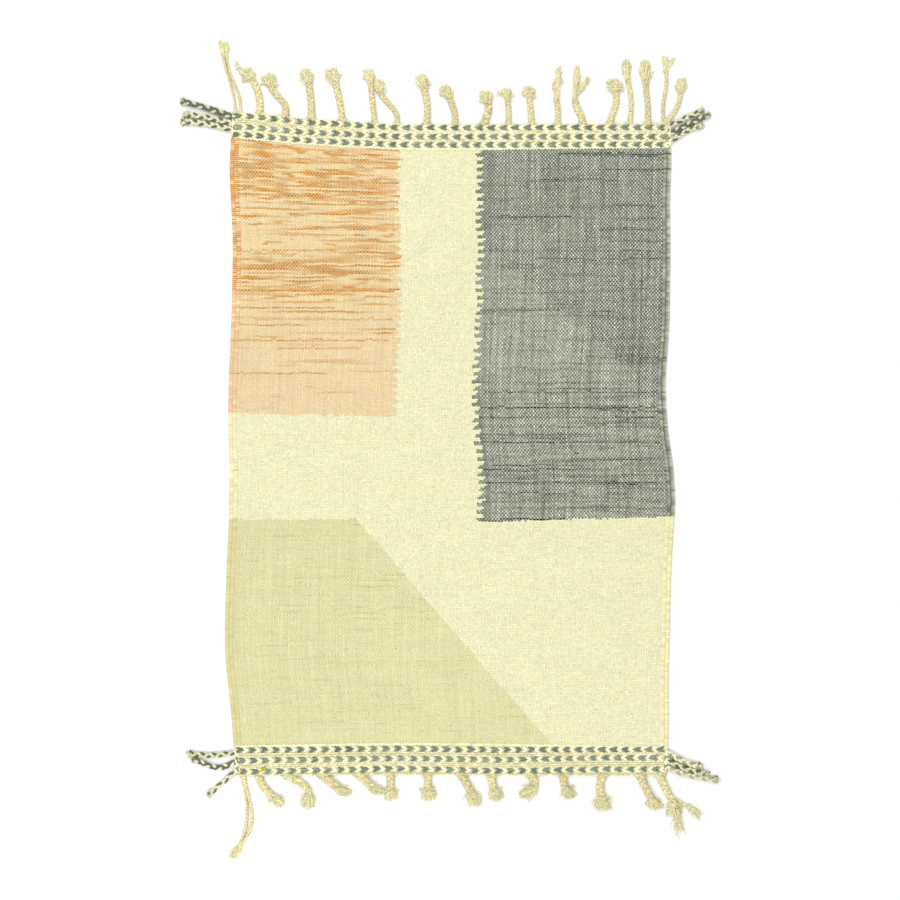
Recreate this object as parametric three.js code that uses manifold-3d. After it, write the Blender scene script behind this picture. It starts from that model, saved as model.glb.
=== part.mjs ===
// A Berber kilim lying flat: one hand-woven wool cloth with corded selvedges, and at each end a
// twined band that locks the weave, with the warp ends plaited into tassels and the ends of the
// twining yarns plaited into small braids at the four corners.
// Millimetres. +X is across the cloth, +Y towards its top end, +Z up. The origin is on the
// underside, in the middle of the cloth.

import * as THREE from "three";
import { mergeVertices } from "three/addons/utils/BufferGeometryUtils.js";
import Module from "manifold-3d";

const wasm = await Module();
wasm.setup();

// The woven cloth.
const CLOTH_THICK = 3;
const CLOTH_UNEVEN = 0.35;
const CLOTH_WAVE = 310;
const CLOTH_WAVE_SKEW = 0.4;
const CLOTH_WAVE_STRETCH = 0.8;
const CLOTH_ROWS = 44;
const CLOTH_COLUMNS = 8;
const SEAM_GAP = 0.5;

// Each selvedge is two cords of bundled warps that the weft wraps.
const CORD_WIDE = 9;
const CORD_HIGH = 4.2;
const GROOVE_HIGH = 2.8;
const RIM_HIGH = 1.7;

// The twined bands.
const CHEVRON_PITCH = 29;
const CHEVRON_LEAD = 0.32;
const BAND_RIM_HIGH = 2.4;

// Plaits lie on the floor: their underside is flat and their top lumpy.
const PLAIT_STEP = 11;
const PLAIT_LUMP = 0.09;
const PLAIT_HIGH = 0.62;
const PLAIT_TOP = 0.52;
const PLAIT_FOOT = 0.8;
const PLAIT_SWING = 0.2;
const HEADING_STEP = 0.01;
const ROOT_DEPTH = 4;
const ROOT_HIGH = 3;

// Cut ends spread into locks.
const LOCK_WIDE = 11;
const LOCK_HIGH = 6.5;
const LOCK_TIP = 0.45;
const LOCK_BELLY = 0.45;
const LOCK_UNEVEN = 0.87;
const LOCK_START = 3;
const WIDEST_SPREAD = 0.9;
const ROOT_LOCK_WIDE = 0.8;
const ROOT_LOCK_HIGH = 0.8;
const BRAID_FLARE = 3;
const BRAID_BRUSH = 13;

const WOOL = { roughness: 0.95, metalness: 0, flatShading: true };
const cream = new THREE.MeshStandardMaterial({ color: "#f1ebc4", ...WOOL });
const twined = new THREE.MeshStandardMaterial({ color: "#d9d8b4", ...WOOL });

// The two long edges, from the top end to the bottom end.
const sides = [
  { y: 765, left: -493, right: 497 },
  { y: 708, left: -496, right: 501 },
  { y: 647, left: -500, right: 502 },
  { y: 568, left: -497, right: 499 },
  { y: 477, left: -493, right: 500 },
  { y: 375, left: -494, right: 499 },
  { y: 272, left: -497, right: 497 },
  { y: 150, left: -502, right: 489 },
  { y: 34, left: -503, right: 496 },
  { y: -34, left: -500, right: 506 },
  { y: -114, left: -501, right: 511 },
  { y: -170, left: -502, right: 508 },
  { y: -272, left: -507, right: 502 },
  { y: -443, left: -511, right: 498 },
  { y: -511, left: -506, right: 496 },
  { y: -579, left: -498, right: 496 },
  { y: -670, left: -491, right: 495 },
  { y: -738, left: -484, right: 485 },
];

// Each band's free edge and its seam with the cloth, from left to right.
const topBand = [
  { x: -500, free: 765, seam: 709 },
  { x: -430, free: 763, seam: 703 },
  { x: -375, free: 758, seam: 697 },
  { x: -315, free: 750, seam: 692 },
  { x: -243, free: 747, seam: 688 },
  { x: -123, free: 739, seam: 682 },
  { x: 10, free: 738, seam: 681 },
  { x: 300, free: 739, seam: 684 },
  { x: 500, free: 742, seam: 686 },
];
const bottomBand = [
  { x: -500, free: -739, seam: -671 },
  { x: -114, free: -736, seam: -665 },
  { x: 200, free: -738, seam: -668 },
  { x: 500, free: -739, seam: -674 },
];

// The lines of a band, by their share of its width from the free edge: the chevron rows stand
// highest, and their ridge runs ahead of the grooves beside it.
const bandLines = [
  { share: 0.0, high: 2.4, pulse: 0.0, lead: 0 },
  { share: 0.04, high: 3.8, pulse: 0.4, lead: 0 },
  { share: 0.13, high: 5.6, pulse: 0.7, lead: 1 },
  { share: 0.23, high: 3.8, pulse: 0.3, lead: 0 },
  { share: 0.37, high: 3.8, pulse: 0.3, lead: 0 },
  { share: 0.48, high: 5.6, pulse: 0.7, lead: 1 },
  { share: 0.59, high: 3.8, pulse: 0.3, lead: 0 },
  { share: 0.72, high: 3.8, pulse: 0.3, lead: 0 },
  { share: 0.83, high: 5.6, pulse: 0.7, lead: 1 },
  { share: 0.94, high: 3.8, pulse: 0.3, lead: 0 },
  { share: 1.0, high: 2.6, pulse: 0.0, lead: 0 },
];

// The tassels. at: where along the band. out: length of the plait. side, bow and sway: how far to
// the right its end lies, its middle is pushed, and its first half swings. fan and brush: how wide
// and long the cut end is. lean: degrees that the cut end points right of straight out.
const topTassels = [
  { at: -487, out: 130, side: -28, bow: 3, sway: 2, wide: 7, fan: 12, brush: 38, lean: -10 },
  { at: -475, out: 130, side: -32, bow: 3, sway: 4, wide: 7, fan: 12, brush: 36, lean: 0 },
  { at: -432, out: 82, side: -19, bow: 8, sway: 0, wide: 17, fan: 36, brush: 30, lean: -50 },
  { at: -375, out: 73, side: -35, bow: 9, sway: 5, wide: 16, fan: 42, brush: 28, lean: 0 },
  { at: -314, out: 84, side: -7, bow: 2, sway: 0, wide: 18, fan: 28, brush: 36, lean: -24 },
  { at: -244, out: 92, side: -18, bow: 2, sway: 0, wide: 16, fan: 32, brush: 33, lean: -28 },
  { at: -171, out: 95, side: -10, bow: 0, sway: 0, wide: 14, fan: 24, brush: 31, lean: -14 },
  { at: -121, out: 76, side: -41, bow: 10, sway: 3, wide: 15, fan: 29, brush: 30, lean: 6 },
  { at: -54, out: 88, side: -8, bow: 6, sway: 0, wide: 17, fan: 33, brush: 29, lean: -5 },
  { at: 12, out: 66, side: -17, bow: 5, sway: 0, wide: 16, fan: 28, brush: 30, lean: -28 },
  { at: 75, out: 55, side: 10, bow: 6, sway: 0, wide: 18, fan: 32, brush: 26, lean: -30 },
  { at: 132, out: 61, side: -3, bow: 2, sway: 0, wide: 14, fan: 26, brush: 24, lean: 0 },
  { at: 185, out: 68, side: -7, bow: 1, sway: 0, wide: 15, fan: 36, brush: 22, lean: 5 },
  { at: 243, out: 59, side: -3, bow: 3, sway: 0, wide: 14, fan: 32, brush: 72, lean: 14 },
  { at: 301, out: 57, side: -18, bow: 0, sway: 2, wide: 16, fan: 26, brush: 75, lean: 8 },
  { at: 361, out: 77, side: 12, bow: 7, sway: -2, wide: 16, fan: 42, brush: 30, lean: 0 },
  { at: 407, out: 102, side: -5, bow: 6, sway: 0, wide: 12, fan: 20, brush: 46, lean: -3 },
  { at: 449, out: 95, side: -7, bow: 2, sway: 0, wide: 14, fan: 25, brush: 50, lean: 5 },
  { at: 484, out: 125, side: 5, bow: 0, sway: -3, wide: 9, fan: 14, brush: 34, lean: -3 },
  { at: 490, out: 73, side: 34, bow: 8, sway: 0, wide: 12, fan: 25, brush: 32, lean: 5 },
];
const bottomTassels = [
  { at: -472, out: 168, side: -8, bow: 16, sway: -3, wide: 8, fan: 12, brush: 28, lean: -40 },
  { at: -462, out: 168, side: -7, bow: 17, sway: -3, wide: 8, fan: 12, brush: 28, lean: -32 },
  { at: -434, out: 50, side: 36, bow: -7, sway: 0, wide: 18, fan: 27, brush: 28, lean: 38 },
  { at: -372, out: 48, side: 52, bow: 17, sway: 0, wide: 17, fan: 34, brush: 32, lean: -12 },
  { at: -291, out: 30, side: 39, bow: 1, sway: 0, wide: 20, fan: 28, brush: 32, lean: 62 },
  { at: -207, out: 30, side: 36, bow: 0, sway: 0, wide: 20, fan: 26, brush: 24, lean: 48 },
  { at: -135, out: 39, side: 0, bow: 0, sway: 0, wide: 19, fan: 38, brush: 24, lean: 10 },
  { at: -51, out: 39, side: 1, bow: 0, sway: 0, wide: 19, fan: 44, brush: 25, lean: 18 },
  { at: 25, out: 45, side: 26, bow: 1, sway: 0, wide: 20, fan: 38, brush: 31, lean: 18 },
  { at: 94, out: 39, side: 8, bow: -2, sway: 0, wide: 21, fan: 36, brush: 25, lean: 22 },
  { at: 182, out: 30, side: 7, bow: 7, sway: 0, wide: 20, fan: 36, brush: 38, lean: -55 },
  { at: 257, out: 32, side: 7, bow: -3, sway: 0, wide: 20, fan: 32, brush: 28, lean: 38 },
  { at: 347, out: 52, side: -3, bow: -6, sway: 0, wide: 20, fan: 44, brush: 34, lean: 8 },
  { at: 431, out: 57, side: 30, bow: -2, sway: 0, wide: 19, fan: 34, brush: 27, lean: 25 },
  { at: 475, out: 62, side: 29, bow: -1, sway: 0, wide: 18, fan: 32, brush: 68, lean: 14 },
];

// Loose ends that have slipped out of a tassel: where each leaves the tassel and where it ends.
const topLooseEnds = [
  { fromX: -466, fromY: 853, toX: -492, toY: 884, wide: 9 },
  { fromX: 122, fromY: 812, toX: 102, toY: 805, wide: 8 },
  { fromX: 286, fromY: 806, toX: 320, toY: 849, wide: 11 },
  { fromX: 489, fromY: 864, toX: 511, toY: 890, wide: 8 },
];
const bottomLooseEnds = [{ fromX: 505, fromY: -788, toX: 572, toY: -831, wide: 10 }];

// The corner braids, three from the end of each chevron row. at: height of the root. out: length
// away from the cloth. rise, bow and sway: the same along Y as a tassel's side, bow and sway.
const topBraids = [
  { edge: "left", at: 756, out: 110, rise: 34, bow: 2, sway: 0, wide: 14 },
  { edge: "left", at: 742, out: 102, rise: 22, bow: 3, sway: 0, wide: 13 },
  { edge: "left", at: 727, out: 109, rise: 18, bow: 3, sway: 0, wide: 13 },
  { edge: "right", at: 736, out: 67, rise: 31, bow: 2, sway: 0, wide: 13 },
  { edge: "right", at: 719, out: 81, rise: 39, bow: 1, sway: 0, wide: 13 },
  { edge: "right", at: 700, out: 66, rise: 35, bow: 5, sway: 0, wide: 13 },
];
const bottomBraids = [
  { edge: "left", at: -686, out: 98, rise: -3, bow: -5, sway: 0, wide: 13 },
  { edge: "left", at: -707, out: 93, rise: 6, bow: -15, sway: -2, wide: 13 },
  { edge: "left", at: -729, out: 57, rise: -50, bow: 0, sway: 0, wide: 13 },
  { edge: "right", at: -685, out: 72, rise: -32, bow: -4, sway: 0, wide: 12 },
  { edge: "right", at: -705, out: 90, rise: -29, bow: -4, sway: 0, wide: 12 },
  { edge: "right", at: -723, out: 113, rise: -26, bow: -4, sway: 0, wide: 12 },
];

// The stretch between two of these rising numbers that a place lies in, or the nearest one.
function stretchOf(numbers, place) {
  const below = numbers.filter((number) => number <= place).length - 1;
  return THREE.MathUtils.clamp(below, 0, numbers.length - 2);
}

// A smooth curve through one column of a table, read at any place along another column.
function column(table, along, name) {
  const rows = [...table].sort((a, b) => a[along] - b[along]);
  const places = rows.map((row) => row[along]);
  const slope = (i) => {
    const before = rows[Math.max(i - 1, 0)];
    const after = rows[Math.min(i + 1, rows.length - 1)];
    return (after[name] - before[name]) / (after[along] - before[along]);
  };
  return (place) => {
    const i = stretchOf(places, place);
    const [from, to] = [rows[i], rows[i + 1]];
    const span = to[along] - from[along];
    const t = THREE.MathUtils.clamp((place - from[along]) / span, 0, 1);
    const rest = 1 - t;
    const ends = from[name] * rest * rest * (1 + 2 * t) + to[name] * t * t * (3 - 2 * t);
    return ends + span * t * rest * (slope(i) * rest - slope(i + 1) * t);
  };
}

const leftEdge = column(sides, "y", "left");
const rightEdge = column(sides, "y", "right");
const topFree = column(topBand, "x", "free");
const bottomFree = column(bottomBand, "x", "free");

// A place on the rug: across is 0 at the left edge and 1 at the right one.
function acrossAt(across, y) {
  return THREE.MathUtils.lerp(leftEdge(y), rightEdge(y), across);
}

// Across the cloth: two cords at each edge, and the plain weave between them.
function clothProfile() {
  const cords = [
    { inset: 0, high: RIM_HIGH },
    { inset: CORD_WIDE / 2, high: CORD_HIGH },
    { inset: CORD_WIDE, high: GROOVE_HIGH },
    { inset: CORD_WIDE * 1.5, high: CORD_HIGH },
    { inset: CORD_WIDE * 2, high: CLOTH_THICK },
  ];
  const left = cords.map((cord) => ({ share: 0, inset: cord.inset, high: cord.high }));
  const right = [...cords].reverse().map((cord) => ({ share: 1, inset: -cord.inset, high: cord.high }));
  const weave = [];
  for (let k = 1; k < CLOTH_COLUMNS; k += 1) {
    weave.push({ share: k / CLOTH_COLUMNS, inset: 0, high: CLOTH_THICK });
  }
  return [...left, ...weave, ...right];
}

// Where each line of the cloth meets a band, and the straight stretches between those points.
const clothLines = clothProfile();

function seamPoints(table) {
  const seam = column(table, "x", "seam");
  return clothLines.map(({ share, inset }) => {
    let y = seam(0);
    for (let pass = 0; pass < 3; pass += 1) y = seam(acrossAt(share, y) + inset);
    return new THREE.Vector2(acrossAt(share, y) + inset, y);
  });
}

function seamHeight(points, x) {
  const i = stretchOf(points.map((point) => point.x), x);
  const [from, to] = [points[i], points[i + 1]];
  return THREE.MathUtils.mapLinear(x, from.x, to.x, from.y, to.y);
}

const topSeam = seamPoints(topBand);
const bottomSeam = seamPoints(bottomBand);

function geometryOf(points, faces) {
  const geometry = new THREE.BufferGeometry();
  geometry.setAttribute("position", new THREE.Float32BufferAttribute(points.flat(), 3));
  geometry.setIndex(faces.flat());
  return geometry;
}

// A closed slab from a grid of top points, whose rim drops to the flat underside.
function slab(columns, rows, topPoint) {
  const points = [];
  const faces = [];
  for (let j = 0; j <= rows; j += 1) {
    for (let i = 0; i <= columns; i += 1) points.push(topPoint(i, j));
  }
  const at = (i, j) => j * (columns + 1) + i;
  for (let j = 0; j < rows; j += 1) {
    for (let i = 0; i < columns; i += 1) {
      faces.push([at(i, j), at(i + 1, j), at(i + 1, j + 1)]);
      faces.push([at(i, j), at(i + 1, j + 1), at(i, j + 1)]);
    }
  }
  const rim = [];
  for (let i = 0; i < columns; i += 1) rim.push(at(i, 0));
  for (let j = 0; j < rows; j += 1) rim.push(at(columns, j));
  for (let i = columns; i > 0; i -= 1) rim.push(at(i, rows));
  for (let j = rows; j > 0; j -= 1) rim.push(at(0, j));
  const floor = points.length;
  rim.forEach((top) => points.push([points[top][0], points[top][1], 0]));
  rim.forEach((top, k) => {
    const next = (k + 1) % rim.length;
    faces.push([top, floor + k, floor + next], [top, floor + next, rim[next]]);
  });
  const outline = rim.map((top) => new THREE.Vector2(points[top][0], points[top][1]));
  for (const [a, b, c] of THREE.ShapeUtils.triangulateShape(outline, [])) {
    faces.push([floor + c, floor + b, floor + a]);
  }
  return geometryOf(points, faces);
}

// A closed bar through a row of rings, each a list of points that runs the same way round.
function bar(rings) {
  const corners = rings[0].length;
  const faces = [];
  for (let k = 0; k + 1 < rings.length; k += 1) {
    for (let i = 0; i < corners; i += 1) {
      const next = (i + 1) % corners;
      const [a, b] = [k * corners + i, k * corners + next];
      faces.push([a, b, b + corners], [a, b + corners, a + corners]);
    }
  }
  const end = (rings.length - 1) * corners;
  for (let i = 1; i + 1 < corners; i += 1) {
    faces.push([0, i + 1, i], [end, end + i, end + i + 1]);
  }
  return geometryOf(rings.flat(), faces);
}

// A ring across a strand that lies on the floor, from [sideways, height] corners.
function ringAt(middle, heading, corners) {
  const left = new THREE.Vector2(-heading.y, heading.x);
  return corners.map(([sideways, high]) => [
    middle.x + left.x * sideways,
    middle.y + left.y * sideways,
    high,
  ]);
}

// The route of a plait: from its root towards `outward`, drifting along `sideward`.
function route(root, outward, sideward, row) {
  const drift = row.side ?? row.rise;
  return (t) =>
    root
      .clone()
      .addScaledVector(outward, row.out * t)
      .addScaledVector(sideward, drift * t)
      .addScaledVector(sideward, row.bow * Math.sin(Math.PI * t))
      .addScaledVector(sideward, row.sway * Math.sin(2 * Math.PI * t));
}

function headingOf(path, t) {
  return path(t + HEADING_STEP).sub(path(t - HEADING_STEP)).normalize();
}

// A plait or a ply: flat underneath, its top corners swinging from side to side as the strands
// cross, and thinner where it enters the band.
function plait(path, row) {
  const steps = Math.max(4, Math.round((row.out + ROOT_DEPTH) / PLAIT_STEP));
  const start = -ROOT_DEPTH / row.out;
  const rings = [];
  for (let k = 0; k <= steps; k += 1) {
    const t = THREE.MathUtils.lerp(start, 1, k / steps);
    const lump = k % 2 === 0 ? 1 : -1;
    const half = (row.wide / 2) * (1 + PLAIT_LUMP * lump);
    const high = k === 0 ? ROOT_HIGH : row.wide * PLAIT_HIGH * (1 - PLAIT_LUMP * lump);
    const swing = half * PLAIT_SWING * (k % 4 < 2 ? 1 : -1);
    rings.push(
      ringAt(path(t), headingOf(path, t), [
        [-half * PLAIT_FOOT, 0],
        [half * PLAIT_FOOT, 0],
        [half * PLAIT_TOP + swing, high],
        [-half * PLAIT_TOP + swing, high],
      ]),
    );
  }
  return bar(rings);
}

// One lock of a cut end: three-sided, flat underneath, fullest part of the way along.
function lock(from, heading, length, rootWide, wide, high) {
  const stations = [
    { along: 0, wide: rootWide, high: high * ROOT_LOCK_HIGH },
    { along: LOCK_BELLY, wide, high },
    { along: 1, wide: wide * LOCK_TIP, high: high * LOCK_TIP },
  ];
  return bar(
    stations.map((station) => {
      const middle = from.clone().addScaledVector(heading, length * station.along);
      return ringAt(middle, heading, [
        [-station.wide / 2, 0],
        [station.wide / 2, 0],
        [0, station.high],
      ]);
    }),
  );
}

// The locks of a cut end, side by side at the plait's end and spread evenly over its fan.
function tuft(path, outward, sideward, row) {
  const count = THREE.MathUtils.clamp(Math.round(row.fan / LOCK_WIDE), 2, 4);
  const wide = Math.min(LOCK_WIDE, row.fan / 2);
  const rootWide = (row.wide * ROOT_LOCK_WIDE) / count;
  const spread = Math.asin(Math.min(WIDEST_SPREAD, (row.fan - wide) / 2 / row.brush));
  const lean = THREE.MathUtils.degToRad(row.lean);
  const pointing = (turn) =>
    new THREE.Vector2()
      .addScaledVector(outward, Math.cos(turn))
      .addScaledVector(sideward, Math.sin(turn));
  const locks = [];
  for (let k = 0; k < count; k += 1) {
    const place = (2 * k) / (count - 1) - 1;
    const heading = pointing(lean + spread * place);
    const from = path(1)
      .addScaledVector(pointing(lean + Math.PI / 2), (place * rootWide * (count - 1)) / 2)
      .addScaledVector(heading, -LOCK_START);
    const shorter = k % 2 === 0 ? 1 : LOCK_UNEVEN;
    const length = row.brush * shorter + LOCK_START;
    locks.push(lock(from, heading, length, rootWide, wide, LOCK_HIGH * shorter));
  }
  return locks;
}

const RIGHT = new THREE.Vector2(1, 0);
const UP = new THREE.Vector2(0, 1);

function tassel(row, freeEdge, outward) {
  const path = route(new THREE.Vector2(row.at, freeEdge(row.at)), outward, RIGHT, row);
  return [plait(path, row), ...tuft(path, outward, RIGHT, row)];
}

// A corner braid ends in two short locks.
function braid(row) {
  const outward = RIGHT.clone().multiplyScalar(row.edge === "left" ? -1 : 1);
  const edge = row.edge === "left" ? leftEdge : rightEdge;
  const path = route(new THREE.Vector2(edge(row.at), row.at), outward, UP, row);
  const slant = THREE.MathUtils.radToDeg(Math.atan2(row.rise, row.out));
  const end = { wide: row.wide, fan: row.wide + BRAID_FLARE, brush: BRAID_BRUSH, lean: slant };
  return [plait(path, row), ...tuft(path, outward, UP, end)];
}

function looseEnd(row) {
  const from = new THREE.Vector2(row.fromX, row.fromY);
  const along = new THREE.Vector2(row.toX, row.toY).sub(from);
  const rootWide = row.wide * ROOT_LOCK_WIDE;
  return lock(from, along.clone().normalize(), along.length(), rootWide, row.wide, LOCK_HIGH);
}

function solidOf(geometry) {
  const merged = mergeVertices(geometry, 1e-5);
  return new wasm.Manifold(
    new wasm.Mesh({
      numProp: 3,
      vertProperties: Float32Array.from(merged.attributes.position.array),
      triVerts: Uint32Array.from(merged.index.array),
    }),
  );
}

// Joins pieces that grow into each other into one body.
function joined(geometries) {
  const whole = geometries.map(solidOf).reduce((body, piece) => body.add(piece));
  const mesh = whole.getMesh();
  const geometry = new THREE.BufferGeometry();
  geometry.setAttribute("position", new THREE.BufferAttribute(mesh.vertProperties, 3));
  geometry.setIndex(new THREE.BufferAttribute(mesh.triVerts, 1));
  return geometry;
}

function cloth() {
  const turn = (2 * Math.PI) / CLOTH_WAVE;
  return slab(clothLines.length - 1, CLOTH_ROWS, (i, j) => {
    const { share, inset, high } = clothLines[i];
    const low = bottomSeam[i].y + SEAM_GAP / 2;
    const top = topSeam[i].y - SEAM_GAP / 2;
    const y = THREE.MathUtils.lerp(low, top, j / CLOTH_ROWS);
    const x = acrossAt(share, y) + inset;
    const across = Math.sin(turn * (x + CLOTH_WAVE_SKEW * y));
    const along = Math.cos(turn * CLOTH_WAVE_STRETCH * y);
    return [x, y, high + CLOTH_UNEVEN * across * along];
  });
}

// A twined band. Left of `turnAt` its chevrons point right, and right of it they point left.
function band(free, seam, turnAt) {
  const upward = free(0) > 0;
  const lines = upward ? [...bandLines].reverse() : bandLines;
  const columns = 2 * Math.round((acrossAt(1, free(0)) - acrossAt(0, free(0))) / CHEVRON_PITCH);
  return slab(columns, lines.length - 1, (i, j) => {
    const line = lines[j];
    const nearSeam = seamHeight(seam, acrossAt(i / columns, seam[0].y));
    const x = acrossAt(i / columns, nearSeam);
    const atSeam = seamHeight(seam, x) + (upward ? SEAM_GAP : -SEAM_GAP) / 2;
    const y = THREE.MathUtils.lerp(free(x), atSeam, line.share);
    const atEnd = i === 0 || i === columns;
    const way = THREE.MathUtils.clamp((turnAt - x) / CHEVRON_PITCH, -1, 1);
    const lead = atEnd ? 0 : line.lead * CHEVRON_LEAD * CHEVRON_PITCH * way;
    const high = line.high + line.pulse * (i % 2 === 0 ? -1 : 1);
    return [acrossAt(i / columns, y) + lead, y, atEnd ? Math.min(high, BAND_RIM_HIGH) : high];
  });
}

function addPiece(group, name, geometry, material) {
  const mesh = new THREE.Mesh(geometry, material);
  mesh.name = name;
  group.add(mesh);
}

const TOP_CHEVRONS_TURN = -170;
const BOTTOM_CHEVRONS_TURN = 190;
const DOWN = UP.clone().negate();

const kilim = new THREE.Group();
addPiece(kilim, "woven_field", cloth(), cream);
addPiece(
  kilim,
  "end_band_top",
  joined([
    band(topFree, topSeam, TOP_CHEVRONS_TURN),
    ...topTassels.flatMap((row) => tassel(row, topFree, UP)),
    ...topLooseEnds.map(looseEnd),
    ...topBraids.flatMap(braid),
  ]),
  twined,
);
addPiece(
  kilim,
  "end_band_bottom",
  joined([
    band(bottomFree, bottomSeam, BOTTOM_CHEVRONS_TURN),
    ...bottomTassels.flatMap((row) => tassel(row, bottomFree, DOWN)),
    ...bottomLooseEnds.map(looseEnd),
    ...bottomBraids.flatMap(braid),
  ]),
  twined,
);

export default kilim;
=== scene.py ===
# A Berber kilim lying flat on a pale floor. It is put together here in the order that a weaver
# works: the cloth on its warps, the wrapped selvedges, the twined band at each end, and then the
# plaited warp ends and the small braids at the corners. Lengths are in metres, and those in the
# tables and the sizes of each grain of yarn are in millimetres.

import bpy
import numpy as np
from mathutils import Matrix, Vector


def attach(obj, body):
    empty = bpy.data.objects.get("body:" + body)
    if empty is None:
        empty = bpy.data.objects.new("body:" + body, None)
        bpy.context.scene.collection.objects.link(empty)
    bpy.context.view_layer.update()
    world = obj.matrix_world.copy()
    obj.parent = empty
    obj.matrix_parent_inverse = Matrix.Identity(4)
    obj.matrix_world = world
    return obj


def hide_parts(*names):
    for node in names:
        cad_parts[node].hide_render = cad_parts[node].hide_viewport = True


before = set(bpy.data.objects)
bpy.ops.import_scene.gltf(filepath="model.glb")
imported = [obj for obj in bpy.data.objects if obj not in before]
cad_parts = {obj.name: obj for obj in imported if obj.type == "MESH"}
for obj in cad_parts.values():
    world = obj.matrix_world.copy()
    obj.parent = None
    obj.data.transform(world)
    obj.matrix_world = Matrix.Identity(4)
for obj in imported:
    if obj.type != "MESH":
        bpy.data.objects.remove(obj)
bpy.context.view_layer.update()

# The woven cloth. Cream wool warps run from end to end, and every pick of weft goes over one warp
# and under the next, so the face is a lattice of crossings, each a small cushion of the yarn on
# top. It fills the solid's own outline, between the selvedges and the two seams.
MM = 0.001
WARP_PITCH = 3.72 * MM
PICK_PITCH = 4.36 * MM
CLOTH_WIDE = 0.997
CLOTH_LONG = 1.36
SELVEDGE_WIDE = 18 * MM
CLOTH_HIGH = 3 * MM
CLOTH_UNEVEN = 0.35 * MM
CLOTH_WAVE = 310 * MM
CLOTH_WAVE_SKEW = 0.4
CLOTH_WAVE_STRETCH = 0.8
CROSSING_CROWN = 0.35 * MM
CROSSING_VALLEY = 0.7 * MM
PICK_DRIFT = 1.5 * MM
WARP_DRIFT = 0.5 * MM
LOOSE = 0.3 * MM
SEAM_FADE = 10
BOTTOM_MEAN = -0.668
TOP_MEAN = 0.690


def solid_edges(node):
    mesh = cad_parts[node].data
    points = np.empty(len(mesh.vertices) * 3)
    mesh.vertices.foreach_get("co", points)
    ends = np.empty(len(mesh.edges) * 2, dtype=int)
    mesh.edges.foreach_get("vertices", ends)
    return points.reshape(-1, 3)[ends.reshape(-1, 2)]


def reach(edges, places, along, across):
    """Lines along the solid's lowest and highest `across`, read at the places `along` it."""
    low = []
    high = []
    for place in places:
        first = edges[:, 0, along] - place
        second = edges[:, 1, along] - place
        crossing = (first * second <= 0) & (first != second)
        part = first[crossing] / (first[crossing] - second[crossing])
        ends = edges[crossing][:, :, across]
        meets = ends[:, 0] + part * (ends[:, 1] - ends[:, 0])
        low.append(meets.min())
        high.append(meets.max())
    return carried_on(places, low), carried_on(places, high)


def carried_on(places, values):
    """A line through the values, that goes on at its last slope beyond them."""
    far = 60 * MM
    first = values[0] - far * (values[3] - values[0]) / (places[3] - places[0])
    last = values[-1] + far * (values[-1] - values[-4]) / (places[-1] - places[-4])
    all_places = np.concatenate([[places[0] - far], places, [places[-1] + far]])
    all_values = np.concatenate([[first], values, [last]])
    return lambda at: np.interp(at, all_places, all_values)


cloth_edges = solid_edges("woven_field")
left_side, right_side = reach(cloth_edges, np.linspace(-0.66, 0.678, 240), 1, 0)
bottom_seam, top_seam = reach(cloth_edges, np.linspace(-0.478, 0.478, 160), 0, 1)


def cloth_place(share, rise, inset=0.0):
    """Where a share of the width and of the length lies: 0 and 1 are the sides, less the inset, and
    the seams. The seams aren't quite straight, and the picks straighten out away from them."""
    share, rise = np.broadcast_arrays(np.asarray(share, float), np.asarray(rise, float))
    straight = BOTTOM_MEAN + (TOP_MEAN - BOTTOM_MEAN) * rise
    y = straight
    for _ in range(3):
        left = left_side(y) + inset
        x = left + (right_side(y) - inset - left) * share
        y = straight + (bottom_seam(x) - BOTTOM_MEAN) * (1 - rise) ** SEAM_FADE
        y = y + (top_seam(x) - TOP_MEAN) * rise**SEAM_FADE
    return x, y


def swell(x, y):
    """The gentle unevenness of the cloth, the same as the solid's."""
    turn = 2 * np.pi / CLOTH_WAVE
    across = np.sin(turn * (x + CLOTH_WAVE_SKEW * y))
    return CLOTH_UNEVEN * across * np.cos(turn * CLOTH_WAVE_STRETCH * y)


def wander(x, y, long, across, start):
    """Slow wandering between -1 and 1, as yarns that were beaten in by hand."""
    first = np.sin(2 * np.pi * (x / long + 0.31 * np.sin(2 * np.pi * y / across + start)))
    second = np.sin(2 * np.pi * (y / across + 0.23 * np.sin(2 * np.pi * x / long * 1.7 + 2 * start)))
    third = np.sin(2 * np.pi * (x / long * 2.3 + y / across * 0.7) + 3 * start)
    return 0.6 * first * second + 0.4 * third


def triangle_mesh(name, points, triangles, shade_depth, fields, wools):
    """A smooth piece in these wools. Each point's depth sets how much shade the wool paints on it, most
    where
    it lies down between the yarns. fields: the other numbers that the wool needs, one for each triangle."""
    mesh = bpy.data.meshes.new(name)
    mesh.vertices.add(len(points))
    mesh.vertices.foreach_set("co", np.asarray(points, np.float32).ravel())
    mesh.loops.add(len(triangles) * 3)
    mesh.loops.foreach_set("vertex_index", np.asarray(triangles, np.int32).ravel())
    mesh.polygons.add(len(triangles))
    mesh.polygons.foreach_set("loop_start", np.arange(len(triangles), dtype=np.int32) * 3)
    mesh.polygons.foreach_set("use_smooth", np.ones(len(triangles), dtype=bool))
    mesh.update(calc_edges=True)
    mesh.attributes.new("shade_depth", "FLOAT", "POINT").data.foreach_set("value", np.asarray(shade_depth, np.float32))
    for field, numbers in fields.items():
        layer = mesh.attributes.new(field, "FLOAT", "FACE")
        layer.data.foreach_set("value", np.asarray(numbers, np.float32))
    mesh.validate()
    for material in wools:
        mesh.materials.append(material)
    piece = bpy.data.objects.new(name, mesh)
    bpy.context.collection.objects.link(piece)
    return piece


def dyed(red, green, blue):
    """A wool's colour as the eye sees it, 0 to 255, made linear for the shader."""
    seen = np.array([red, green, blue]) / 255
    linear = np.where(seen <= 0.04045, seen / 12.92, ((seen + 0.055) / 1.055) ** 2.4)
    return (*linear.tolist(), 1.0)


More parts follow.
